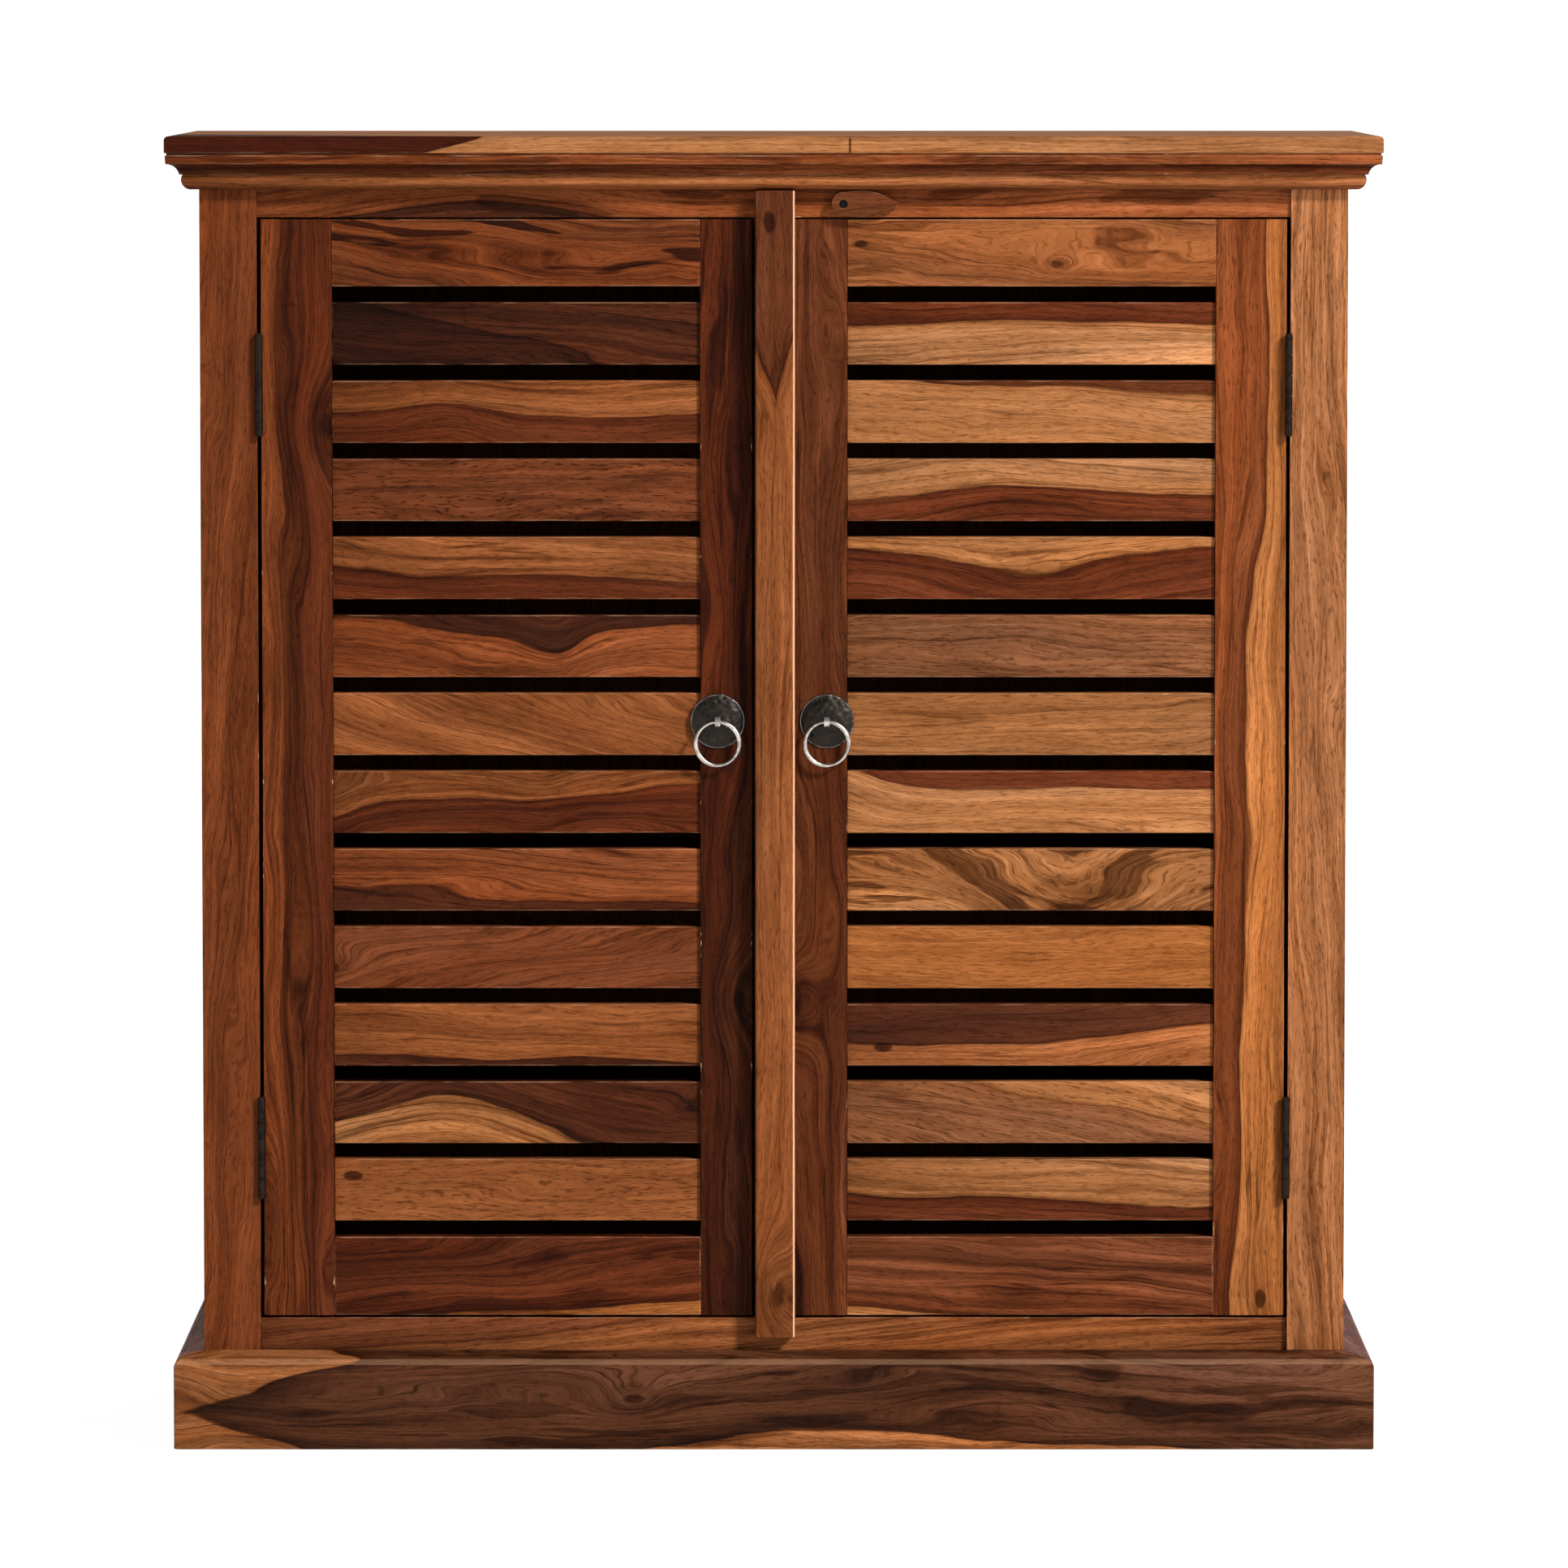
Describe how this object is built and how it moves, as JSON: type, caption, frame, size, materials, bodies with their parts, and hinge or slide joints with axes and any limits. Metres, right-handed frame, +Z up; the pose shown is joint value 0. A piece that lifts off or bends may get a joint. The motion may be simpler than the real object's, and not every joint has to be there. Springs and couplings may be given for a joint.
{
  "type": "shoe cabinet",
  "caption": "Free-standing wooden shoe cabinet with slatted double doors on butt hinges, iron ring pulls, a cover strip, a wooden turn button, a moulded cornice and a plinth.",
  "frame": {"origin": "on the floor, in the middle of the cabinet's plan, which is the plan of its top board", "axes": "+Z up, the doors face -Y, and +X is to the right of somebody who faces the doors"},
  "size_m": [0.914, 0.38, 0.992],
  "materials": {
    "sheesham": "satin oiled rosewood-type hardwood, strongly figured from orange-brown to near black",
    "inner_wood": "plain sanded hardwood",
    "back_board": "plain board, sealed",
    "button_wood": "greyish brown, rubbed smooth",
    "dark_iron": "blackened, rims rubbed bright",
    "worn_iron": "blackened, polished by handling",
    "hinge_steel": "aged, dark",
    "screw_steel": "aged, dark"
  },
  "bodies": {
    "carcass": {"back_panel": "back_board", "bead_front": "sheesham", "bead_left": "sheesham", "bead_right": "sheesham", "bottom_front_rail": "sheesham", "crown_front": "sheesham", "crown_left": "sheesham", "crown_right": "sheesham", "door_stop_batten": "inner_wood", "floor_board": "inner_wood", "frame_hinge_leaves": "hinge_steel", "frame_hinge_screws": "screw_steel", "frieze_rail": "sheesham", "front_left_post": "sheesham", "front_right_post": "sheesham", "hinge_pins": "hinge_steel", "left_side_bottom_rail": "sheesham", "left_side_panel": "sheesham", "left_side_top_rail": "sheesham", "plinth_front": "sheesham", "plinth_left": "sheesham", "plinth_right": "sheesham", "rear_bottom_rail": "inner_wood", "rear_left_post": "sheesham", "rear_right_post": "sheesham", "rear_top_rail": "inner_wood", "right_side_bottom_rail": "sheesham", "right_side_panel": "sheesham", "right_side_top_rail": "sheesham", "shelf_1": "inner_wood", "shelf_2": "inner_wood", "shelf_3": "inner_wood", "shelf_4": "inner_wood", "shelf_cleats": "inner_wood", "top_board": "sheesham", "turn_button_screw": "screw_steel"},
    "left_door": {"left_door_bottom_rail": "sheesham", "left_door_hinge_leaves": "hinge_steel", "left_door_hinge_screws": "screw_steel", "left_door_hinge_stile": "sheesham", "left_door_lock_stile": "sheesham", "left_door_slats": "sheesham", "left_door_top_rail": "sheesham", "left_pull_eye_bolt": "dark_iron", "left_pull_nut": "dark_iron", "left_pull_rose": "dark_iron"},
    "right_door": {"right_door_bottom_rail": "sheesham", "right_door_cover_strip": "sheesham", "right_door_hinge_leaves": "hinge_steel", "right_door_hinge_screws": "screw_steel", "right_door_hinge_stile": "sheesham", "right_door_lock_stile": "sheesham", "right_door_slats": "sheesham", "right_door_top_rail": "sheesham", "right_pull_eye_bolt": "dark_iron", "right_pull_nut": "dark_iron", "right_pull_rose": "dark_iron"},
    "left_ring": {"left_pull_ring": "worn_iron"},
    "right_ring": {"right_pull_ring": "worn_iron"},
    "turn_button": {"turn_button": "button_wood"}
  },
  "joints": [
    {"name": "left_door_hinge", "type": "hinge", "parent": "carcass", "child": "left_door", "pos_m": [-0.3875, -0.168, 0.5], "axis": [0, 0, -1], "range_deg": [0, 120]},
    {"name": "right_door_hinge", "type": "hinge", "parent": "carcass", "child": "right_door", "pos_m": [0.3875, -0.168, 0.5], "axis": [0, 0, 1], "range_deg": [0, 120]},
    {"name": "left_ring_swing", "type": "hinge", "parent": "left_door", "child": "left_ring", "pos_m": [-0.0424, -0.1715, 0.551], "axis": [-1, 0, 0], "range_deg": [0, 165]},
    {"name": "right_ring_swing", "type": "hinge", "parent": "right_door", "child": "right_ring", "pos_m": [0.04, -0.1715, 0.551], "axis": [-1, 0, 0], "range_deg": [0, 165]},
    {"name": "turn_button_pivot", "type": "hinge", "parent": "carcass", "child": "turn_button", "pos_m": [0.0522, -0.1676, 0.9412], "axis": [0, 1, 0], "range_deg": [0, 90]}
  ]
}
